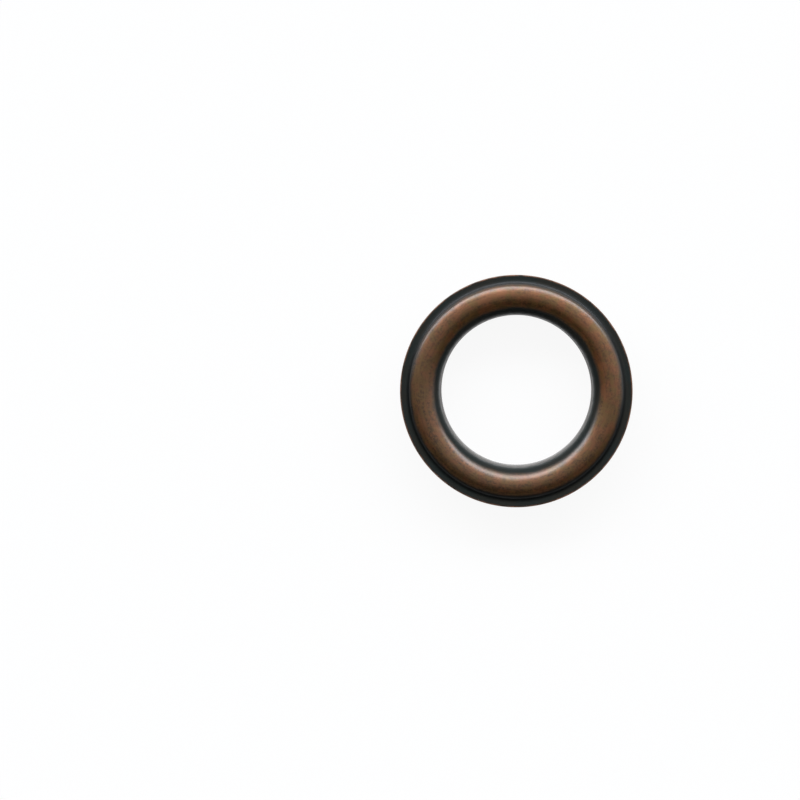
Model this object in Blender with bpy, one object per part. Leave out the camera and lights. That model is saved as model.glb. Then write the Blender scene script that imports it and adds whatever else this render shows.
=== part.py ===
"""Grommet eyelet: one piece of sheet metal, drawn into a short barrel with a domed flange.

The barrel stands on its open end, and the finished face of the flange looks up. Seen in
section, the sheet runs up the barrel, bends outwards over the edge of the hole, arches over
a crown, drops down a flank into a hollow crease and ends in a flat lip. The sheet keeps its
thickness all the way, so the crown is hollow on its underside.

Frame: metres, +Z up along the barrel's axis, origin at the centre of the barrel's open end.
"""

import math

import bmesh
import bpy
from mathutils import Vector

MM = 0.001

# Sheet
SHEET_THICKNESS = 0.4 * MM
EDGE_ROUNDING = 0.1 * MM          # radius on the four corners of the two cut edges

# Barrel
BARREL_DIAMETER = 26.3 * MM       # outside, where the straight wall ends under the flange
BARREL_HEIGHT = 7.2 * MM          # open end to the underside of the lip
BARREL_DRAFT = math.radians(2.4)  # the wall leans in towards the open end

# Flange, from the hole outwards
HOLE_BEND_INSIDE = 1.0 * MM       # inside radius of the bend from the barrel to the crown
HOLE_SLOPE = math.radians(50)     # slope at which the crown runs into that bend
CROWN_RADIUS = 3.5 * MM           # radius of the arched crown, on the finished face
CROWN_HEIGHT = 1.05 * MM          # top of the crown above the face of the lip
SHOULDER_SLOPE = math.radians(25)  # slope at which the crown runs into the shoulder
SHOULDER_INSIDE = 1.1 * MM        # inside radius where the crown turns down
CREASE_INSIDE = 1.1 * MM          # inside radius of the crease beside the lip
LIP_WIDTH = 0.72 * MM             # flat part of the lip

# Smoothness of the turned form
TURN_STEPS = 80
HOLE_BEND_STEPS = 3
CROWN_STEPS = 6
SHOULDER_STEPS = 3
CREASE_STEPS = 3
EDGE_STEPS = 2
SHARP_ANGLE = math.radians(35)
SAME_PLACE = 0.001 * MM           # points closer than this are at one place


def clear_scene():
    """Removes every object, so that the file holds the eyelet alone."""
    for old in list(bpy.data.objects):
        bpy.data.objects.remove(old, do_unlink=True)


def direction(slope):
    """Unit vector across the sheet, out of its finished face, in radius and height.

    The slope is 0 on top of the crown, positive where the face falls away outwards and
    negative where it falls towards the hole.
    """
    return Vector((math.sin(slope), math.cos(slope)))


def bend(centre, radius, first_slope, last_slope, steps):
    """Points along one bend, each with the direction out of the finished face.

    A negative radius is a bend whose centre lies on the side of the finished face.
    """
    stations = []
    for step in range(steps + 1):
        slope = first_slope + (last_slope - first_slope) * step / steps
        across = direction(slope)
        stations.append((centre + across * radius, across))
    return stations


def sheet_stations():
    """The finished face of the section, from the barrel's open end to the rim of the lip."""
    lip_face = BARREL_HEIGHT + SHEET_THICKNESS
    wall_slope = BARREL_DRAFT - math.radians(90)
    hole_bend = HOLE_BEND_INSIDE + SHEET_THICKNESS
    shoulder = SHOULDER_INSIDE + SHEET_THICKNESS

    # Hole bend: its centre lies under the flange, beside the barrel's wall.
    wall_top = BARREL_DIAMETER / 2
    hole_bend_r = wall_top + HOLE_BEND_INSIDE * math.cos(BARREL_DRAFT)

    # Crown: it meets the hole bend at the hole slope.
    crown_r = hole_bend_r + (CROWN_RADIUS - hole_bend) * math.sin(HOLE_SLOPE)
    crown_centre = Vector((crown_r, lip_face + CROWN_HEIGHT - CROWN_RADIUS))
    hole_bend_centre = crown_centre + direction(-HOLE_SLOPE) * (CROWN_RADIUS - hole_bend)

    # Shoulder and crease: the flank between them is as steep as the full drop to the lip asks.
    shoulder_centre = crown_centre + direction(SHOULDER_SLOPE) * (CROWN_RADIUS - shoulder)
    bends_drop = CROWN_HEIGHT - (CROWN_RADIUS - shoulder) * (1 - math.cos(SHOULDER_SLOPE))
    flank = math.acos(1 - bends_drop / (shoulder + CREASE_INSIDE))
    crease_centre = shoulder_centre + direction(flank) * (shoulder + CREASE_INSIDE)
    rim = Vector((crease_centre.x + LIP_WIDTH, lip_face))

    stations = bend(hole_bend_centre, hole_bend, wall_slope, -HOLE_SLOPE, HOLE_BEND_STEPS)
    stations += bend(crown_centre, CROWN_RADIUS, -HOLE_SLOPE, SHOULDER_SLOPE, CROWN_STEPS)[1:]
    stations += bend(shoulder_centre, shoulder, SHOULDER_SLOPE, flank, SHOULDER_STEPS)[1:]
    stations += bend(crease_centre, -CREASE_INSIDE, flank, 0, CREASE_STEPS)[1:]
    stations.append((rim, direction(0)))
    return stations


def barrel_foot(wall_point):
    """The wall carried straight down along its draft to the open end, at height 0."""
    return Vector((wall_point.x - wall_point.y * math.tan(BARREL_DRAFT), 0))


def section_sides():
    """The two sides of the sheet's section, finished face and underside, from foot to rim."""
    stations = sheet_stations()
    face = [point for point, across in stations]
    underside = [point - across * SHEET_THICKNESS for point, across in stations]
    face.insert(0, barrel_foot(face[0]))
    underside.insert(0, barrel_foot(underside[0]))
    return face, underside


def round_cut_edges(mesh, corners):
    """Rounds the turned edges, the circles that the given corners of the section sweep."""
    def on_circle(vert, corner):
        place = Vector((vert.co.xy.length, vert.co.z))
        return (place - corner).length < SAME_PLACE

    edges = [
        edge for edge in mesh.edges
        if any(all(on_circle(vert, corner) for vert in edge.verts) for corner in corners)
    ]
    bmesh.ops.bevel(
        mesh, geom=edges, offset=EDGE_ROUNDING, offset_type="OFFSET",
        segments=EDGE_STEPS, profile=0.5, affect="EDGES",
    )


def plated_metal():
    """Antique copper plate on brass, as one plain colour."""
    material = bpy.data.materials.new("antique_copper_plate")
    material.use_nodes = True
    shader = material.node_tree.nodes["Principled BSDF"]
    shader.inputs["Base Color"].default_value = (0.24, 0.13, 0.08, 1)
    shader.inputs["Metallic"].default_value = 1
    shader.inputs["Roughness"].default_value = 0.38
    return material


def build_eyelet():
    """Turns the section about the barrel's axis into the one solid of the eyelet."""
    face, underside = section_sides()
    outline = face + underside[::-1]

    mesh = bmesh.new()
    verts = [mesh.verts.new((point.x, 0, point.y)) for point in outline]
    edges = [mesh.edges.new((verts[i - 1], verts[i])) for i in range(len(verts))]
    bmesh.ops.spin(
        mesh, geom=verts + edges, cent=(0, 0, 0), axis=(0, 0, 1),
        angle=math.radians(360), steps=TURN_STEPS, use_merge=True,
    )
    bmesh.ops.recalc_face_normals(mesh, faces=mesh.faces)
    round_cut_edges(mesh, [face[0], underside[0], face[-1], underside[-1]])
    bmesh.ops.recalc_face_normals(mesh, faces=mesh.faces)

    data = bpy.data.meshes.new("eyelet")
    mesh.to_mesh(data)
    mesh.free()
    data.shade_smooth()
    data.set_sharp_from_angle(angle=SHARP_ANGLE)
    data.materials.append(plated_metal())

    eyelet = bpy.data.objects.new("eyelet", data)
    bpy.context.scene.collection.objects.link(eyelet)
    return eyelet


clear_scene()
build_eyelet()
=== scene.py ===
"""Grommet eyelet in antique copper plate, dressed for a studio view of its finished face.

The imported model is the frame. The eyelet is modelled again here as a finer turned sheet of the
same section, gets its plated finish, and stands on a pale floor under a soft studio ceiling.
"""

import math

import bpy
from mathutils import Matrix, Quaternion, Vector


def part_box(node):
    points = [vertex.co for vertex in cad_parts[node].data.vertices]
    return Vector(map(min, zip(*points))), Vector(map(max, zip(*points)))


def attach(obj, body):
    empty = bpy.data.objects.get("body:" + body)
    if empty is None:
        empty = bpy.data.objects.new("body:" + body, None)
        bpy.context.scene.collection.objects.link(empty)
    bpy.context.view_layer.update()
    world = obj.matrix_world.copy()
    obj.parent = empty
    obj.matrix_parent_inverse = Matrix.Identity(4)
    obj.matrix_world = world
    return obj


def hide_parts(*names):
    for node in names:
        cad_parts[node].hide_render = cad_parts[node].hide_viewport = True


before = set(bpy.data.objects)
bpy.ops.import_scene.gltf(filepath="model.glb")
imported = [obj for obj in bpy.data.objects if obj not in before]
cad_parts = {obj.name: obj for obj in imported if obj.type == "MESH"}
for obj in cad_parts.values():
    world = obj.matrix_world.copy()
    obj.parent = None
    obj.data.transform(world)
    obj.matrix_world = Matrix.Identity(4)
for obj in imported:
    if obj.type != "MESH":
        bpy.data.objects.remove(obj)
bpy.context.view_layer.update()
EYELET_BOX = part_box("eyelet")
RIM_RADIUS = EYELET_BOX[1].x
CROWN_TOP = EYELET_BOX[1].z

bl_info = {
    "name": "Grommet Eyelet",
    "version": (1, 0, 0),
    "blender": (4, 5, 0),
    "location": "View3D > Sidebar > Eyelet",
    "description": "Models a domed sheet metal eyelet with an antique copper finish and its stage",
    "category": "Add Mesh",
}

MM = 0.001

# Tint of what the plated metal reflects where it is seen nearly edge on
GRAZING_TINT = (0.35, 0.35, 0.35, 1)

# Turned sheet
WALL_RING_PITCH = 0.5 * MM           # between rings up the straight wall
LIP_RING_PITCH = 0.25 * MM           # between rings across the flat lip
ROUNDING_STEPS = 4                   # faces across the rounded corner of a cut edge
CUT_CORNER = math.radians(60)        # a corner sharper than this is rounded
SMOOTH_UP_TO = math.radians(40)      # faces that turn less than this are shaded as one

# A pair of radii, heights or places, here and below, is where a soft edge begins and ends.

# Buffed copper on the crown
BUFFED_FROM = (13.5 * MM, 14.35 * MM)
BUFFED_TO = (16.85 * MM, 17.75 * MM)
BUFFING_WANDER = 0.07 * MM           # its edges wander in and out by this much
WANDER_SIZE = 2.5 * MM               # over stretches about this long
BUFFED_EDGE_AND_SHADE_CENTRE = (0.1 * MM, 0.1 * MM, 0)  # its inner edge is a little off the eyelet's centre; the shift towards +Y also leaves more oxide, as painted shade, on the +Y side's inner slope
SHADE_SHIFT_CENTRE = (0, 0.15 * MM, 0)  # its outer edge is shifted towards +Y, so that more oxide, as painted shade, covers the outer slope towards -Y, and the crease's black reaches further in there
UNSHADED_SIDE = (0.55, 0.83, 0)       # towards the side that is left without painted shade
SHADE_REACH = 17 * MM              # from the axis to that side
SIDE_SHADE_DEPTH = 0.4                      # share of painted shade, as darker copper, on the other side
MARK_SHARE = 0.7                     # share of darkening in the deepest streaks and specks
SATIN_SIZE = 1.2 * MM
SATIN_ROUGHNESS = (0.48, 0.62)
RIPPLE_SIZE = 3.75 * MM
RIPPLE_DEPTH = 0.04 * MM
SPECK_DEPTH = 0.004 * MM

# Oxide in the crease, on the lip and in the throat, with black painted shade in the crease
OXIDE_GLOSS = 0.2                    # specular level of the oxide, which is nearly matt
TINGE_SIZE = 6 * MM                  # size of the clouds that are teal
CREASE_FROM = (17.0 * MM, 17.65 * MM)  # radii over which the oxide turns to black painted shade in the crease
CREASE_TO = (17.95 * MM, 18.35 * MM)  # and over which it pales again on the lip
RIM_WEAR = (18.98 * MM, 19.2 * MM)   # radii over which the corner of the lip is worn bare
SCUFF_SHARE = (0.05, 0.5)            # least and most of the copper that shows there
THROAT = (12.75 * MM, 13.4 * MM)     # radii over which the grey of the throat ends
INNER_WALL = (4.4 * MM, 6.6 * MM)    # heights over which the wall's brown turns to that grey
INNER_BLOTCH_SIZE = 1.2 * MM
INNER_BLOTCH_SHARE = 0.7             # share of oxide in the wall's darkest blotches

# Clear lacquer. It was sprayed from +Y, so its outer edge is off the eyelet's centre.
LACQUER_IOR = 1.6
LACQUER_ROUGHNESS = 0.25
LACQUERED_FROM = (13.25 * MM, 13.95 * MM)
LACQUERED_TO = (17.45 * MM, 17.9 * MM)
LACQUER_CENTRE = (0, 0.32 * MM, 0)
LIP_LACQUER = 0.2                    # share of it on the lip
THROAT_LACQUER = 0.12                # and in the throat
RUN_HEIGHT = 6 * MM                  # below this it thickens down the wall that faced the spray
FACING_SPRAY = (-11 * MM, 2 * MM)    # places in Y over which the wall turns away from it

# Tarnished plate outside the barrel and under the flange
BLOTCH_SIZE = 1.2 * MM
FLECK_SIZE = 0.3 * MM
FLECK_SHARE = 0.32                   # share of the paler colour in the palest flecks
DRAW_MARK_STRETCH = 1.8              # draw marks are this many times as high as wide
UNDER_CROWN = (13.4 * MM, 15.0 * MM)  # radii over which brass comes through
BRASS_SIZE = 3.0 * MM                # size of the places where it does
BRASS_SHARE = 0.6
FOOT_WEAR = (0.25 * MM, 0.8 * MM)    # heights over which the burnished line at the foot ends
FOOT_WANDER = 0.15 * MM              # its edge wanders up and down by this much
FOOT_WANDER_SIZE = 1.0 * MM
FOOT_SHARE = 0.85                    # share of paler copper in that line
BACK_LACQUER = 0.3
BACK_SATIN_SIZE = 0.8 * MM
BACK_ROUGHNESS = (0.30, 0.46)
DIMPLE_SIZE = 1.6 * MM
DIMPLE_DEPTH = 0.02 * MM

# Cut edges
PATCH_SIZE = 1.2 * MM
PATCH_SHARE = 0.6                    # share of plate in the darkest patches
EDGE_SATIN_SIZE = 0.5 * MM
EDGE_ROUGHNESS = (0.28, 0.42)

# The ring's centre in the photograph's 800 by 800 frame, and its scale there
FRAME_PIXELS = 800
RING_CENTRE_PIXEL = (516.3, 391.2)
PIXELS_PER_MM = 6.04
CAMERA_LEAN = math.radians(1.7)      # from straight above, towards the key panel
SENSOR_WIDTH_MM = 36
FARTHEST_SEEN = 20                   # metres from the camera, past the floor's corners

# Paper floor
FLOOR_SIZE = 8                       # metres
PAPER_ROUGHNESS = 0.9
PAPER_GLOSS = 0.1
FLOOR_WHITE_SHARE = 0.92             # share of plain white that the camera and reflections see

# Studio light. A place on the ceiling is given in units of its height above the eyelet.
KEY_NEAR = (0.60, 1.00)              # places in Y over which the key panel begins
KEY_FAR = (1.15, 1.95)               # and over which it ends
KEY_SIDE = (1.40, 2.60)              # places in X, to both sides, over which it ends
KEY_GLOW = 6.1
KEY_TINT = (0.94, 1.0, 1.08)         # a little bluer than the ceiling
KEY_SLANT = -0.06                    # its edges come nearer towards -X
CEILING_GLOW = (0.04, 0.85)          # towards -Y and towards +Y
CEILING_FADE = (-0.6, 0.65)          # places in Y over which it brightens
CEILING_SLANT = 0.18                 # it is brighter towards +X
WALL_GLOW = 0.96
WALL_FADE = (0.02, 0.06)             # sine of the elevation where the pale wall fades out
HORIZON = 0.001                      # least sine of the elevation that is divided by

# Inputs and output of a Mix node that mixes colours
MIX_A, MIX_B, MIX_RESULT = 6, 7, 2


def linear(hex_colour):
    """An sRGB hex colour as linear RGBA."""
    channels = [int(hex_colour[i:i + 2], 16) / 255 for i in (1, 3, 5)]
    return [
        c / 12.92 if c <= 0.04045 else ((c + 0.055) / 1.055) ** 2.4 for c in channels
    ] + [1]


class EyeletSizes(bpy.types.PropertyGroup):
    """Sizes of the eyelet's section. Its outer radius and height come from the frame."""

    sheet_thickness: bpy.props.FloatProperty(
        name="Sheet", description="Thickness of the sheet metal",
        default=0.4 * MM, min=0.1 * MM, unit="LENGTH", precision=5,
    )
    edge_rounding: bpy.props.FloatProperty(
        name="Edge rounding", description="Radius on the corners of the two cut edges",
        default=0.1 * MM, min=0, unit="LENGTH", precision=5,
    )
    barrel_diameter: bpy.props.FloatProperty(
        name="Barrel", description="Diameter outside, where the straight wall ends under the flange",
        default=26.3 * MM, min=5 * MM, unit="LENGTH", precision=5,
    )
    barrel_height: bpy.props.FloatProperty(
        name="Barrel height", description="Open end of the barrel to the underside of the lip",
        default=7.2 * MM, min=1 * MM, unit="LENGTH", precision=5,
    )
    barrel_draft: bpy.props.FloatProperty(
        name="Draft", description="Lean of the wall, inwards to the open end",
        default=math.radians(2.4), min=0, unit="ROTATION",
    )
    hole_bend: bpy.props.FloatProperty(
        name="Hole bend", description="Inside radius of the bend from the barrel to the crown",
        default=1.0 * MM, min=0.1 * MM, unit="LENGTH", precision=5,
    )
    hole_slope: bpy.props.FloatProperty(
        name="Hole slope", description="Slope at which the crown runs into the hole bend",
        default=math.radians(50), unit="ROTATION",
    )
    crown_radius: bpy.props.FloatProperty(
        name="Crown", description="Radius of the arched crown, on the finished face",
        default=3.5 * MM, min=1 * MM, unit="LENGTH", precision=5,
    )
    shoulder_slope: bpy.props.FloatProperty(
        name="Shoulder slope", description="Slope at which the crown runs into the shoulder",
        default=math.radians(25), unit="ROTATION",
    )
    shoulder: bpy.props.FloatProperty(
        name="Shoulder", description="Inside radius where the crown turns down",
        default=1.1 * MM, min=0, unit="LENGTH", precision=5,
    )
    crease: bpy.props.FloatProperty(
        name="Crease", description="Inside radius of the crease beside the lip",
        default=1.1 * MM, min=0, unit="LENGTH", precision=5,
    )
    turn_steps: bpy.props.IntProperty(
        name="Turn steps", description="Faces round the eyelet", default=288, min=16,
    )
    bend_step: bpy.props.FloatProperty(
        name="Bend step", description="Largest turn of the section between two rings",
        default=math.radians(3.5), min=math.radians(0.5), unit="ROTATION",
    )


class EyeletFinish(bpy.types.PropertyGroup):
    """Colours of the antique copper plate and sizes of its patterns."""

    copper_red: bpy.props.FloatVectorProperty(
        name="Reddish copper", description="Buffed plate where it is redder",
        subtype="COLOR", size=4, min=0, max=1, default=linear("#81502C"),
    )
    copper_olive: bpy.props.FloatVectorProperty(
        name="Olive copper", description="Buffed plate where it is browner",
        subtype="COLOR", size=4, min=0, max=1, default=linear("#725227"),
    )
    copper_dark: bpy.props.FloatVectorProperty(
        name="Dark copper", description="Streaks and specks left by the darkening bath",
        subtype="COLOR", size=4, min=0, max=1, default=linear("#48301A"),
    )
    bright_copper: bpy.props.FloatVectorProperty(
        name="Bright copper", description="Copper worn bare on the corner of the lip",
        subtype="COLOR", size=4, min=0, max=1, default=linear("#B98468"),
    )
    edge_copper: bpy.props.FloatVectorProperty(
        name="Edge copper", description="Paler copper of the cut edges and the burnished foot",
        subtype="COLOR", size=4, min=0, max=1, default=linear("#AE9280"),
    )
    oxide: bpy.props.FloatVectorProperty(
        name="Oxide", description="Blackened plate on the lip",
        subtype="COLOR", size=4, min=0, max=1, default=linear("#21211D"),
    )
    oxide_teal: bpy.props.FloatVectorProperty(
        name="Teal oxide", description="Blackened plate where it is bluer",
        subtype="COLOR", size=4, min=0, max=1, default=linear("#1B2120"),
    )
    # Black painted shade in the crease, laid over the oxide
    crease_shade_black: bpy.props.FloatVectorProperty(
        name="Crease", description="Thick oxide at the bottom of the crease",
        subtype="COLOR", size=4, min=0, max=1, default=linear("#080B0B"),
    )
    throat_grey: bpy.props.FloatVectorProperty(
        name="Throat", description="Matt grey tarnish inside the hole, which no wheel reached",
        subtype="COLOR", size=4, min=0, max=1, default=linear("#2E3231"),
    )
    inner_brown: bpy.props.FloatVectorProperty(
        name="Inner wall", description="Tarnish low inside the barrel",
        subtype="COLOR", size=4, min=0, max=1, default=linear("#382F29"),
    )
    barrel_brown: bpy.props.FloatVectorProperty(
        name="Barrel", description="Tarnished plate outside the barrel",
        subtype="COLOR", size=4, min=0, max=1, default=linear("#64554A"),
    )
    barrel_dark: bpy.props.FloatVectorProperty(
        name="Barrel blotches", description="Darker blotches outside the barrel",
        subtype="COLOR", size=4, min=0, max=1, default=linear("#4A3E37"),
    )
    barrel_light: bpy.props.FloatVectorProperty(
        name="Barrel flecks", description="Paler flecks and draw marks outside the barrel",
        subtype="COLOR", size=4, min=0, max=1, default=linear("#857466"),
    )
    brass: bpy.props.FloatVectorProperty(
        name="Brass", description="Brass that shows through the thin plate under the crown",
        subtype="COLOR", size=4, min=0, max=1, default=linear("#857A3E"),
    )
    cloud_size: bpy.props.FloatProperty(
        name="Clouds", description="Size of the redder and browner clouds",
        default=1.5 * MM, min=0.1 * MM, unit="LENGTH", precision=5,
    )
    # Real buffing marks and pits are under 0.1 mm. They are drawn coarser here, so that they show.
    speck_size: bpy.props.FloatProperty(
        name="Specks", description="Size of the specks in the buffed plate",
        default=0.35 * MM, min=0.05 * MM, unit="LENGTH", precision=5,
    )
    streak_width: bpy.props.FloatProperty(
        name="Streak width", description="Width of the marks that the buffing wheel left",
        default=0.45 * MM, min=0.05 * MM, unit="LENGTH", precision=5,
    )
    streak_length: bpy.props.FloatProperty(
        name="Streak length", description="Length of those marks round the ring",
        default=5.0 * MM, min=0.5 * MM, unit="LENGTH", precision=5,
    )


class EyeletStage(bpy.types.PropertyGroup):
    """Floor and camera."""

    floor_colour: bpy.props.FloatVectorProperty(
        name="Floor", description="Colour of the paper floor",
        subtype="COLOR", size=4, min=0, max=1, default=linear("#F7F7F7"),
    )
    camera_distance: bpy.props.FloatProperty(
        name="Camera", description="Distance from the camera to the middle of the lip's face",
        default=1.0, min=0.1, unit="LENGTH",
    )


def direction(slope):
    """Unit vector across the sheet, out of its finished face, in radius and height."""
    return Vector((math.sin(slope), math.cos(slope)))


def bend(centre, radius, first_slope, last_slope, largest_step):
    """Points of one bend of the section. A negative radius is a hollow bend."""
    steps = math.ceil(abs(last_slope - first_slope) / largest_step)
    slopes = [first_slope + (last_slope - first_slope) * i / steps for i in range(steps + 1)]
    return [centre + direction(slope) * radius for slope in slopes]


def straight(start, end, longest):
    """Points from start to end, without start, no further apart than longest."""
    steps = math.ceil((end - start).length / longest)
    return [start.lerp(end, i / steps) for i in range(1, steps + 1)]


def finished_face(sizes):
    """Section of the finished face in radius and height, from the barrel's foot to the rim."""
    lip_face = sizes.barrel_height + sizes.sheet_thickness
    wall_slope = sizes.barrel_draft - math.radians(90)
    hole_bend = sizes.hole_bend + sizes.sheet_thickness
    shoulder = sizes.shoulder + sizes.sheet_thickness
    crown = sizes.crown_radius

    hole_bend_r = sizes.barrel_diameter / 2 + sizes.hole_bend * math.cos(sizes.barrel_draft)
    crown_r = hole_bend_r + (crown - hole_bend) * math.sin(sizes.hole_slope)
    crown_centre = Vector((crown_r, CROWN_TOP - crown))
    hole_bend_centre = crown_centre + direction(-sizes.hole_slope) * (crown - hole_bend)
    shoulder_centre = crown_centre + direction(sizes.shoulder_slope) * (crown - shoulder)
    crown_drop = (crown - shoulder) * (1 - math.cos(sizes.shoulder_slope))
    bends_drop = CROWN_TOP - lip_face - crown_drop
    flank = math.acos(1 - bends_drop / (shoulder + sizes.crease))
    crease_centre = shoulder_centre + direction(flank) * (shoulder + sizes.crease)

    step = sizes.bend_step
    hole_bend_points = bend(hole_bend_centre, hole_bend, wall_slope, -sizes.hole_slope, step)
    wall_top = hole_bend_points[0]
    foot = Vector((wall_top.x - wall_top.y * math.tan(sizes.barrel_draft), 0))
    points = [foot]
    points += straight(foot, wall_top, WALL_RING_PITCH)
    points += hole_bend_points[1:]
    points += bend(crown_centre, crown, -sizes.hole_slope, sizes.shoulder_slope, step)[1:]
    points += bend(shoulder_centre, shoulder, sizes.shoulder_slope, flank, step)[1:]
    points += bend(crease_centre, -sizes.crease, flank, 0, step)[1:]
    points += straight(points[-1], Vector((RIM_RADIUS, lip_face)), LIP_RING_PITCH)
    return points


def turned_sheet(name, points, steps):
    """A circle at the first point, extruded and widened ring by ring through the others."""
    bpy.ops.object.select_all(action="DESELECT")
    bpy.ops.mesh.primitive_circle_add(
        vertices=steps, radius=points[0].x, location=(0, 0, points[0].y),
    )
    sheet = bpy.context.object
    sheet.name = sheet.data.name = name
    bpy.ops.object.transform_apply(location=True, rotation=False, scale=False)
    bpy.ops.object.mode_set(mode="EDIT")
    for last, here in zip(points, points[1:]):
        bpy.ops.mesh.extrude_region_move(
            TRANSFORM_OT_translate={"value": (0, 0, here.y - last.y)},
        )
        widen = here.x / last.x
        bpy.ops.transform.resize(value=(widen, widen, 1), center_override=(0, 0, 0))
    bpy.ops.mesh.select_all(action="SELECT")
    bpy.ops.mesh.normals_make_consistent(inside=False)
    bpy.ops.object.mode_set(mode="OBJECT")
    # The sheet is open, so its normals agree but may all point to the underside.
    highest = max(sheet.data.polygons, key=lambda face: face.center.z)
    if highest.normal.z < 0:
        bpy.ops.object.mode_set(mode="EDIT")
        bpy.ops.mesh.flip_normals()
        bpy.ops.object.mode_set(mode="OBJECT")
    return sheet


def apply_modifier(piece, kind, **settings):
    """Adds a modifier to the active piece with its settings, and applies it."""
    bpy.ops.object.modifier_add(type=kind)
    modifier = piece.modifiers[-1]
    for name, value in settings.items():
        setattr(modifier, name, value)
    bpy.ops.object.modifier_apply(modifier=modifier.name)


def square_foot(sheet, thickness):
    """Brings the two rings of the cut edge at the open end to height 0.

    They lie across the leaning wall, one of them a little off the floor.
    """
    for vert in sheet.data.vertices:
        vert.select = vert.co.z < thickness / 2
    for line in (*sheet.data.edges, *sheet.data.polygons):
        line.select = all(sheet.data.vertices[i].select for i in line.vertices)
    bpy.ops.object.mode_set(mode="EDIT")
    bpy.ops.transform.resize(value=(1, 1, 0), center_override=(0, 0, 0))
    bpy.ops.object.mode_set(mode="OBJECT")


def add(tree, kind, inputs=None, **settings):
    """Adds a node with its settings. Each input is a value, or an output socket to link."""
    node = tree.nodes.new(kind)
    for name, value in settings.items():
        setattr(node, name, value)
    for name, value in (inputs or {}).items():
        if isinstance(value, bpy.types.NodeSocket):
            tree.links.new(value, node.inputs[name])
        else:
            node.inputs[name].default_value = value
    return node


def plated_metal(name):
    """A new metal material, with its node tree, shader and object coordinates."""
    material = bpy.data.materials.new(name)
    material.use_nodes = True
    tree = material.node_tree
    shader = tree.nodes["Principled BSDF"]
    shader.inputs["Metallic"].default_value = 1
    shader.inputs["Specular Tint"].default_value = GRAZING_TINT
    shader.inputs["Coat Roughness"].default_value = LACQUER_ROUGHNESS
    shader.inputs["Coat IOR"].default_value = LACQUER_IOR
    place = add(tree, "ShaderNodeTexCoord").outputs["Object"]
    return material, tree, shader, place


def between(tree, rising, rise, falling, fall):
    """1 between two soft edges, given by the values over which each one rises or falls."""
    up = add(tree, "ShaderNodeMapRange", {
        "Value": rising, "From Min": rise[0], "From Max": rise[1],
    }, interpolation_type="SMOOTHSTEP")
    down = add(tree, "ShaderNodeMapRange", {
        "Value": falling, "From Min": fall[0], "From Max": fall[1], "To Min": 1, "To Max": 0,
    }, interpolation_type="SMOOTHSTEP")
    both = add(tree, "ShaderNodeMath", {0: up.outputs[0], 1: down.outputs[0]}, operation="MULTIPLY")
    return both.outputs[0]


def distance_from_axis(tree, place, centre=(0, 0, 0)):
    """Distance from the eyelet's axis, or from an upright axis through the given centre."""
    aside = add(tree, "ShaderNodeVectorMath", {0: place, 1: centre}, operation="SUBTRACT")
    level = add(tree, "ShaderNodeVectorMath", {
        0: aside.outputs[0], 1: (1, 1, 0),
    }, operation="MULTIPLY")
    distance = add(tree, "ShaderNodeVectorMath", {0: level.outputs[0]}, operation="LENGTH")
    return distance.outputs["Value"]


def blotches(tree, place, size, low, high, softness=0.12, detail=3.0):
    """Blotches about size across, whose value runs from low to high. Softness widens their edges."""
    noise = add(tree, "ShaderNodeTexNoise", {"Vector": place, "Scale": 1 / size, "Detail": detail})
    return add(tree, "ShaderNodeMapRange", {
        "Value": noise.outputs["Fac"], "From Min": 0.5 - softness, "From Max": 0.5 + softness,
        "To Min": low, "To Max": high,
    }, interpolation_type="SMOOTHSTEP").outputs[0]


def draw_marks(tree, place, width, most):
    """Soft blotches from 0 to most, drawn out up the barrel as the die drew the sheet."""
    squeezed = add(tree, "ShaderNodeMapping", {
        "Vector": place, "Scale": (1, 1, 1 / DRAW_MARK_STRETCH),
    })
    return blotches(tree, squeezed.outputs[0], width, 0.0, most, softness=0.3)


def buffing_streaks(tree, place, finish):
    """Marks of the buffing wheel: narrow across the ring, long round it."""
    level = add(tree, "ShaderNodeVectorMath", {0: place, 1: (1, 1, 0)}, operation="MULTIPLY")
    spoke = add(tree, "ShaderNodeVectorMath", {0: level.outputs[0]}, operation="NORMALIZE")
    round_ring = add(tree, "ShaderNodeVectorMath", {
        0: spoke.outputs[0], "Scale": RIM_RADIUS / finish.streak_length,
    }, operation="SCALE")
    radius = distance_from_axis(tree, place)
    across = add(tree, "ShaderNodeMath", {0: radius, 1: finish.streak_width}, operation="DIVIDE")
    lift = add(tree, "ShaderNodeCombineXYZ", {"Z": across.outputs[0]})
    unrolled = add(tree, "ShaderNodeVectorMath", {0: round_ring.outputs[0], 1: lift.outputs[0]})
    return blotches(tree, unrolled.outputs[0], 1.0, 0.0, 1.0, softness=0.2, detail=2.0)


def buffed_share(tree, place):
    """1 where the buffing wheel laid the copper bare, 0 where the oxide is left."""
    # Both edges are shifted towards +Y, so that oxide covers more of the slopes that face -Y, as
    # painted shade
    wander = blotches(tree, place, WANDER_SIZE, -BUFFING_WANDER, BUFFING_WANDER, softness=0.2)
    inner_radius = add(tree, "ShaderNodeMath", {
        0: distance_from_axis(tree, place, BUFFED_EDGE_AND_SHADE_CENTRE), 1: wander,
    })
    outer_radius = add(tree, "ShaderNodeMath", {
        0: distance_from_axis(tree, place, SHADE_SHIFT_CENTRE), 1: wander,
    })
    return between(tree, inner_radius.outputs[0], BUFFED_FROM, outer_radius.outputs[0], BUFFED_TO)


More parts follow.
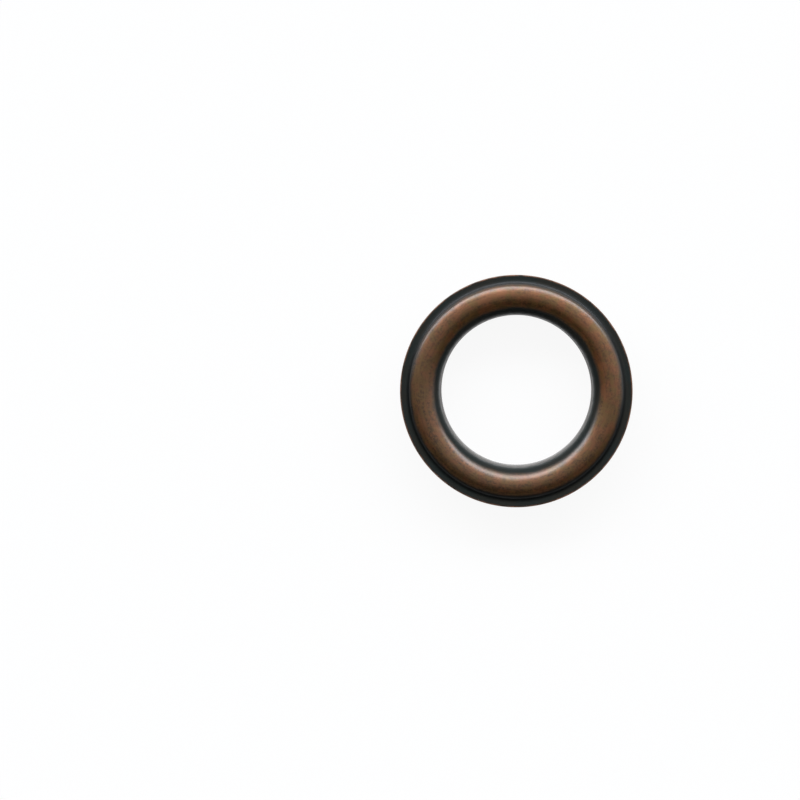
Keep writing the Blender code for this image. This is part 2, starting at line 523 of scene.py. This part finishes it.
def buffed_copper(tree, place, speck, finish):
    """Colour of the crown: redder and browner clouds, darker in streaks and specks.

    It is darker all over towards -X and -Y, which is painted shade.
    """
    cloud = blotches(tree, place, finish.cloud_size, 0.0, 1.0)
    clouded = add(tree, "ShaderNodeMix", {
        0: cloud, MIX_A: finish.copper_olive, MIX_B: finish.copper_red,
    }, data_type="RGBA")
    streak = buffing_streaks(tree, place, finish)
    marks = add(tree, "ShaderNodeMath", {0: streak, 1: speck}, operation="MULTIPLY")
    # Painted shade: the copper darkens towards -X and -Y, away from the light
    lean = add(tree, "ShaderNodeVectorMath", {0: place, 1: UNSHADED_SIDE}, operation="DOT_PRODUCT")
    side_shade = add(tree, "ShaderNodeMapRange", {
        "Value": lean.outputs["Value"], "From Min": -SHADE_REACH, "From Max": SHADE_REACH,
        "To Min": SIDE_SHADE_DEPTH, "To Max": 0,
    })
    marks_and_shade = add(tree, "ShaderNodeMath", {
        0: marks.outputs[0], 1: MARK_SHARE, 2: side_shade.outputs[0],
    }, operation="MULTIPLY_ADD", use_clamp=True)
    copper = add(tree, "ShaderNodeMix", {
        0: marks_and_shade.outputs[0], MIX_A: clouded.outputs[MIX_RESULT], MIX_B: finish.copper_dark,
    }, data_type="RGBA")
    return copper.outputs[MIX_RESULT]


def recess_oxide(tree, place, radius, throat, finish):
    """Colour of the plate that the wheel never reached.

    It is near black with a teal tinge on the lip, and painted black as shade in the crease. The
    throat is a matt grey, and low on the barrel's inner wall it turns to a blotchy brown.
    """
    tinge = blotches(tree, place, TINGE_SIZE, 0.0, 1.0)
    lip = add(tree, "ShaderNodeMix", {
        0: tinge, MIX_A: finish.oxide, MIX_B: finish.oxide_teal,
    }, data_type="RGBA")
    shade_shifted_radius = distance_from_axis(tree, place, SHADE_SHIFT_CENTRE)
    # Painted shade: black in the crease, reaching further in towards -Y
    crease = between(tree, shade_shifted_radius, CREASE_FROM, radius, CREASE_TO)
    outer = add(tree, "ShaderNodeMix", {
        0: crease, MIX_A: lip.outputs[MIX_RESULT], MIX_B: finish.crease_shade_black,
    }, data_type="RGBA")

    blotch = draw_marks(tree, place, INNER_BLOTCH_SIZE, INNER_BLOTCH_SHARE)
    wall = add(tree, "ShaderNodeMix", {
        0: blotch, MIX_A: finish.inner_brown, MIX_B: finish.oxide,
    }, data_type="RGBA")
    axes = add(tree, "ShaderNodeSeparateXYZ", {0: place})
    low = add(tree, "ShaderNodeMapRange", {
        "Value": axes.outputs["Z"], "From Min": INNER_WALL[0], "From Max": INNER_WALL[1],
        "To Min": 1, "To Max": 0,
    }, interpolation_type="SMOOTHSTEP")
    inner = add(tree, "ShaderNodeMix", {
        0: low.outputs[0], MIX_A: finish.throat_grey, MIX_B: wall.outputs[MIX_RESULT],
    }, data_type="RGBA")
    oxide = add(tree, "ShaderNodeMix", {
        0: throat, MIX_A: outer.outputs[MIX_RESULT], MIX_B: inner.outputs[MIX_RESULT],
    }, data_type="RGBA")
    return oxide.outputs[MIX_RESULT]


def lip_wear(tree, place, radius, finish):
    """Share of bare copper on the corner of the lip, patchy along it."""
    corner = add(tree, "ShaderNodeMapRange", {
        "Value": radius, "From Min": RIM_WEAR[0], "From Max": RIM_WEAR[1],
    }, interpolation_type="SMOOTHSTEP")
    scuffed = blotches(tree, place, finish.cloud_size, *SCUFF_SHARE, softness=0.2)
    worn = add(tree, "ShaderNodeMath", {0: corner.outputs[0], 1: scuffed}, operation="MULTIPLY")
    return worn.outputs[0]


def lacquer_share(tree, place, radius, throat):
    """Share of lacquer: full on the crown, thin on the lip and in the throat.

    It ran down the side of the barrel's inner wall that faced the spray.
    """
    sprayed_radius = distance_from_axis(tree, place, LACQUER_CENTRE)
    full = between(tree, radius, LACQUERED_FROM, sprayed_radius, LACQUERED_TO)
    thin = add(tree, "ShaderNodeMapRange", {
        "Value": throat, "To Min": LIP_LACQUER, "To Max": THROAT_LACQUER,
    })
    sprayed = add(tree, "ShaderNodeMath", {0: full, 1: thin.outputs[0]}, operation="MAXIMUM")

    axes = add(tree, "ShaderNodeSeparateXYZ", {0: place})
    low = add(tree, "ShaderNodeMapRange", {
        "Value": axes.outputs["Z"], "From Min": 0, "From Max": RUN_HEIGHT,
        "To Min": 1, "To Max": 0,
    })
    facing = add(tree, "ShaderNodeMapRange", {
        "Value": axes.outputs["Y"], "From Min": FACING_SPRAY[0], "From Max": FACING_SPRAY[1],
        "To Min": 1, "To Max": 0,
    })
    run = add(tree, "ShaderNodeMath", {0: low.outputs[0], 1: facing.outputs[0]}, operation="MULTIPLY")
    inside = add(tree, "ShaderNodeMath", {0: run.outputs[0], 1: throat}, operation="MULTIPLY")
    share = add(tree, "ShaderNodeMath", {
        0: sprayed.outputs[0], 1: inside.outputs[0],
    }, operation="MAXIMUM")
    return share.outputs[0]


def face_finish(finish):
    """Antique copper plate on the finished face and down inside the barrel.

    The plate was blackened all over, buffed on the crown and lacquered. The eye sees satin
    copper with clouds, streaks and specks under a soft white highlight on the crown, near black
    oxide with a faint sheen in the recesses, and a thin line of copper on the lip's corner.
    """
    material, tree, shader, place = plated_metal("antique_copper_face")
    shader.inputs["Specular IOR Level"].default_value = OXIDE_GLOSS
    radius = distance_from_axis(tree, place)
    throat = add(tree, "ShaderNodeMapRange", {
        "Value": radius, "From Min": THROAT[0], "From Max": THROAT[1], "To Min": 1, "To Max": 0,
    }, interpolation_type="SMOOTHSTEP").outputs[0]
    speck = blotches(tree, place, finish.speck_size, 0.0, 1.0, softness=0.2)

    buffed = buffed_share(tree, place)
    oxide = recess_oxide(tree, place, radius, throat, finish)
    copper = buffed_copper(tree, place, speck, finish)
    plate = add(tree, "ShaderNodeMix", {
        0: buffed, MIX_A: oxide, MIX_B: copper,
    }, data_type="RGBA")
    worn = lip_wear(tree, place, radius, finish)
    colour = add(tree, "ShaderNodeMix", {
        0: worn, MIX_A: plate.outputs[MIX_RESULT], MIX_B: finish.bright_copper,
    }, data_type="RGBA")
    tree.links.new(colour.outputs[MIX_RESULT], shader.inputs["Base Color"])
    bare = add(tree, "ShaderNodeMath", {0: buffed, 1: worn}, operation="MAXIMUM")
    tree.links.new(bare.outputs[0], shader.inputs["Metallic"])

    satin = blotches(tree, place, SATIN_SIZE, *SATIN_ROUGHNESS)
    tree.links.new(satin, shader.inputs["Roughness"])
    lacquer = lacquer_share(tree, place, radius, throat)
    tree.links.new(lacquer, shader.inputs["Coat Weight"])

    ripple = blotches(tree, place, RIPPLE_SIZE, 0.0, 1.0, softness=0.5, detail=1.0)
    rippled = add(tree, "ShaderNodeBump", {"Distance": RIPPLE_DEPTH, "Height": ripple})
    grained = add(tree, "ShaderNodeBump", {
        "Distance": SPECK_DEPTH, "Height": speck, "Normal": rippled.outputs[0],
    })
    tree.links.new(grained.outputs[0], shader.inputs["Normal"])
    tree.links.new(rippled.outputs[0], shader.inputs["Coat Normal"])
    return material


def tarnished_plate(tree, place, finish):
    """Colour of the back: grey brown with faint blotches and paler draw marks up the wall."""
    blotch = blotches(tree, place, BLOTCH_SIZE, 0.0, 1.0, softness=0.3, detail=5.0)
    plate = add(tree, "ShaderNodeMix", {
        0: blotch, MIX_A: finish.barrel_brown, MIX_B: finish.barrel_dark,
    }, data_type="RGBA")
    fleck = draw_marks(tree, place, FLECK_SIZE, FLECK_SHARE)
    flecked = add(tree, "ShaderNodeMix", {
        0: fleck, MIX_A: plate.outputs[MIX_RESULT], MIX_B: finish.barrel_light,
    }, data_type="RGBA")
    return flecked.outputs[MIX_RESULT]


def back_finish(finish):
    """Tarnished copper plate outside the barrel and under the flange.

    It was drawn, plated and never buffed. The eye sees a satin grey brown, a yellow shine in the
    hollow of the crown where brass comes through, and a paler burnished line at the foot.
    """
    material, tree, shader, place = plated_metal("tarnished_copper_back")
    plate = tarnished_plate(tree, place, finish)

    hollow = add(tree, "ShaderNodeMapRange", {
        "Value": distance_from_axis(tree, place), "From Min": UNDER_CROWN[0],
        "From Max": UNDER_CROWN[1], "To Max": BRASS_SHARE,
    }, interpolation_type="SMOOTHSTEP")
    thin = blotches(tree, place, BRASS_SIZE, 0.0, 1.0)
    brassy = add(tree, "ShaderNodeMath", {0: hollow.outputs[0], 1: thin}, operation="MULTIPLY")
    shown = add(tree, "ShaderNodeMix", {
        0: brassy.outputs[0], MIX_A: plate, MIX_B: finish.brass,
    }, data_type="RGBA")

    wander = blotches(tree, place, FOOT_WANDER_SIZE, -FOOT_WANDER, FOOT_WANDER, softness=0.3)
    axes = add(tree, "ShaderNodeSeparateXYZ", {0: place})
    height = add(tree, "ShaderNodeMath", {0: axes.outputs["Z"], 1: wander})
    burnished = add(tree, "ShaderNodeMapRange", {
        "Value": height.outputs[0], "From Min": FOOT_WEAR[0], "From Max": FOOT_WEAR[1],
        "To Min": FOOT_SHARE, "To Max": 0,
    }, interpolation_type="SMOOTHSTEP")
    colour = add(tree, "ShaderNodeMix", {
        0: burnished.outputs[0], MIX_A: shown.outputs[MIX_RESULT], MIX_B: finish.edge_copper,
    }, data_type="RGBA")
    tree.links.new(colour.outputs[MIX_RESULT], shader.inputs["Base Color"])

    satin = blotches(tree, place, BACK_SATIN_SIZE, *BACK_ROUGHNESS)
    tree.links.new(satin, shader.inputs["Roughness"])
    shader.inputs["Coat Weight"].default_value = BACK_LACQUER
    dimples = blotches(tree, place, DIMPLE_SIZE, 0.0, 1.0, softness=0.4)
    dimpled = add(tree, "ShaderNodeBump", {"Distance": DIMPLE_DEPTH, "Height": dimples})
    tree.links.new(dimpled.outputs[0], shader.inputs["Normal"])
    return material


def edge_finish(finish):
    """Bare copper on the cut edges, burnished pink by handling, with darker patches of plate."""
    material, tree, shader, place = plated_metal("burnished_copper_edge")
    patch = blotches(tree, place, PATCH_SIZE, 0.0, PATCH_SHARE, softness=0.25, detail=4.0)
    colour = add(tree, "ShaderNodeMix", {
        0: patch, MIX_A: finish.edge_copper, MIX_B: finish.barrel_brown,
    }, data_type="RGBA")
    tree.links.new(colour.outputs[MIX_RESULT], shader.inputs["Base Color"])
    satin = blotches(tree, place, EDGE_SATIN_SIZE, *EDGE_ROUGHNESS)
    tree.links.new(satin, shader.inputs["Roughness"])
    return material


class MESH_OT_grommet_eyelet(bpy.types.Operator):
    """Model the eyelet as one turned sheet and give it its plated finish"""

    bl_idname = "mesh.grommet_eyelet"
    bl_label = "Eyelet"
    bl_options = {"REGISTER", "UNDO"}

    def execute(self, context):
        sizes = context.scene.eyelet_sizes
        finish = context.scene.eyelet_finish
        eyelet = turned_sheet("plated_eyelet", finished_face(sizes), sizes.turn_steps)
        for material in (face_finish(finish), back_finish(finish), edge_finish(finish)):
            eyelet.data.materials.append(material)
        apply_modifier(
            eyelet, "SOLIDIFY", thickness=sizes.sheet_thickness, offset=-1,
            use_even_offset=True, material_offset=1, material_offset_rim=2,
        )
        square_foot(eyelet, sizes.sheet_thickness)
        apply_modifier(
            eyelet, "BEVEL", width=sizes.edge_rounding, segments=ROUNDING_STEPS,
            limit_method="ANGLE", angle_limit=CUT_CORNER,
        )
        bpy.ops.object.shade_smooth_by_angle(angle=SMOOTH_UP_TO)
        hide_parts("eyelet")
        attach(eyelet, "root")
        return {"FINISHED"}


def add_camera(stage, lip_face):
    """Camera above the eyelet, turned so that the ring lies where it should in the frame."""
    pixel = MM / PIXELS_PER_MM
    middle = FRAME_PIXELS / 2
    right, down = RING_CENTRE_PIXEL
    to_ring = Vector((right - middle, middle - down, -stage.camera_distance / pixel))
    straight_down = Vector((0, 0, -1))
    lean = Quaternion((1, 0, 0), -CAMERA_LEAN)
    turn = lean @ to_ring.rotation_difference(straight_down)
    place = Vector((0, 0, lip_face)) - lean @ straight_down * stage.camera_distance
    bpy.ops.object.camera_add(location=place, rotation=turn.to_euler())
    camera = bpy.context.object
    camera.name = "face_camera"
    camera.data.sensor_width = SENSOR_WIDTH_MM
    camera.data.lens = stage.camera_distance / (FRAME_PIXELS * pixel) * SENSOR_WIDTH_MM
    camera.data.clip_end = FARTHEST_SEEN
    bpy.context.scene.camera = camera


def pale_paper(stage):
    """Matt paper, which shows white to the camera and in reflections, under its shadows."""
    material = bpy.data.materials.new("pale_paper")
    material.use_nodes = True
    tree = material.node_tree
    shader = tree.nodes["Principled BSDF"]
    shader.inputs["Base Color"].default_value = stage.floor_colour
    shader.inputs["Roughness"].default_value = PAPER_ROUGHNESS
    shader.inputs["Specular IOR Level"].default_value = PAPER_GLOSS
    rays = add(tree, "ShaderNodeLightPath").outputs
    mirrored = add(tree, "ShaderNodeMath", {
        0: rays["Is Camera Ray"], 1: rays["Is Glossy Ray"],
    }, operation="MAXIMUM")
    seen = add(tree, "ShaderNodeMath", {
        0: mirrored.outputs[0], 1: rays["Is Transmission Ray"],
    }, operation="MAXIMUM")
    share = add(tree, "ShaderNodeMath", {
        0: seen.outputs[0], 1: FLOOR_WHITE_SHARE,
    }, operation="MULTIPLY")
    white = add(tree, "ShaderNodeEmission", {"Color": (1, 1, 1, 1), "Strength": 1})
    mixed = add(tree, "ShaderNodeMixShader", {
        0: share.outputs[0], 1: shader.outputs[0], 2: white.outputs[0],
    })
    tree.links.new(mixed.outputs[0], tree.nodes["Material Output"].inputs["Surface"])
    return material


def add_floor(stage):
    """Pale paper floor under the eyelet's open end."""
    bpy.ops.mesh.primitive_plane_add(size=FLOOR_SIZE, location=(0, 0, 0))
    floor = bpy.context.object
    floor.name = floor.data.name = "floor"
    floor.data.materials.append(pale_paper(stage))


def key_light(tree, across, along):
    """Light of the key panel, by how far across and along on the ceiling a direction meets it."""
    slanted = add(tree, "ShaderNodeMath", {
        0: across, 1: KEY_SLANT, 2: along,
    }, operation="MULTIPLY_ADD").outputs[0]
    lit = between(tree, slanted, KEY_NEAR, slanted, KEY_FAR)
    aside = add(tree, "ShaderNodeMath", {0: across}, operation="ABSOLUTE").outputs[0]
    sides = add(tree, "ShaderNodeMapRange", {
        "Value": aside, "From Min": KEY_SIDE[0], "From Max": KEY_SIDE[1],
        "To Min": KEY_GLOW, "To Max": 0,
    }, interpolation_type="SMOOTHSTEP")
    level = add(tree, "ShaderNodeMath", {0: lit, 1: sides.outputs[0]}, operation="MULTIPLY")
    light = add(tree, "ShaderNodeVectorMath", {
        0: KEY_TINT, "Scale": level.outputs[0],
    }, operation="SCALE")
    return light.outputs[0]


def add_studio():
    """World as a studio room: a pale wall round the horizon, and a ceiling with a key panel.

    The ceiling is dim towards -Y and brighter towards +Y, where the key panel is. A direction's
    place on it is where the direction meets a level plane at height 1.
    """
    world = bpy.data.worlds.new("studio")
    bpy.context.scene.world = world
    world.use_nodes = True
    tree = world.node_tree
    look = add(tree, "ShaderNodeTexCoord").outputs["Generated"]
    axes = add(tree, "ShaderNodeSeparateXYZ", {0: look}).outputs
    height = add(tree, "ShaderNodeMath", {0: axes["Z"], 1: HORIZON}, operation="MAXIMUM").outputs[0]
    across = add(tree, "ShaderNodeMath", {0: axes["X"], 1: height}, operation="DIVIDE").outputs[0]
    along = add(tree, "ShaderNodeMath", {0: axes["Y"], 1: height}, operation="DIVIDE").outputs[0]

    wall = add(tree, "ShaderNodeMapRange", {
        "Value": axes["Z"], "From Min": WALL_FADE[0], "From Max": WALL_FADE[1],
        "To Min": WALL_GLOW, "To Max": 0,
    }, interpolation_type="SMOOTHSTEP")
    slanted = add(tree, "ShaderNodeMath", {
        0: across, 1: CEILING_SLANT, 2: along,
    }, operation="MULTIPLY_ADD")
    ceiling = add(tree, "ShaderNodeMapRange", {
        "Value": slanted.outputs[0], "From Min": CEILING_FADE[0], "From Max": CEILING_FADE[1],
        "To Min": CEILING_GLOW[0], "To Max": CEILING_GLOW[1],
    }, interpolation_type="SMOOTHSTEP")
    room = add(tree, "ShaderNodeMath", {0: wall.outputs[0], 1: ceiling.outputs[0]})
    key = key_light(tree, across, along)
    light = add(tree, "ShaderNodeVectorMath", {0: room.outputs[0], 1: key})
    tree.links.new(light.outputs[0], tree.nodes["Background"].inputs["Color"])


class SCENE_OT_eyelet_stage(bpy.types.Operator):
    """Add the pale floor, the studio light and the camera above the eyelet"""

    bl_idname = "scene.eyelet_stage"
    bl_label = "Stage"
    bl_options = {"REGISTER", "UNDO"}

    def execute(self, context):
        stage = context.scene.eyelet_stage
        sizes = context.scene.eyelet_sizes
        bpy.ops.object.select_all(action="DESELECT")
        add_floor(stage)
        add_studio()
        add_camera(stage, sizes.barrel_height + sizes.sheet_thickness)
        context.scene.view_settings.view_transform = "Standard"
        return {"FINISHED"}


class VIEW3D_PT_eyelet(bpy.types.Panel):
    """Sizes, colours and buttons of the eyelet"""

    bl_idname = "VIEW3D_PT_eyelet"
    bl_label = "Grommet Eyelet"
    bl_space_type = "VIEW_3D"
    bl_region_type = "UI"
    bl_category = "Eyelet"

    def draw(self, context):
        scene = context.scene
        for group in (scene.eyelet_sizes, scene.eyelet_finish, scene.eyelet_stage):
            column = self.layout.column(align=True)
            for name in group.bl_rna.properties.keys():
                if name not in ("rna_type", "name"):
                    column.prop(group, name)
        self.layout.operator(MESH_OT_grommet_eyelet.bl_idname)
        self.layout.operator(SCENE_OT_eyelet_stage.bl_idname)


CLASSES = (
    EyeletSizes, EyeletFinish, EyeletStage,
    MESH_OT_grommet_eyelet, SCENE_OT_eyelet_stage, VIEW3D_PT_eyelet,
)


def register():
    for cls in CLASSES:
        bpy.utils.register_class(cls)
    bpy.types.Scene.eyelet_sizes = bpy.props.PointerProperty(type=EyeletSizes)
    bpy.types.Scene.eyelet_finish = bpy.props.PointerProperty(type=EyeletFinish)
    bpy.types.Scene.eyelet_stage = bpy.props.PointerProperty(type=EyeletStage)


def unregister():
    del bpy.types.Scene.eyelet_stage
    del bpy.types.Scene.eyelet_finish
    del bpy.types.Scene.eyelet_sizes
    for cls in reversed(CLASSES):
        bpy.utils.unregister_class(cls)


def main():
    """Registers the classes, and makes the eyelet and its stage."""
    register()
    bpy.ops.mesh.grommet_eyelet()
    bpy.ops.scene.eyelet_stage()


if __name__ == "__main__":
    main()
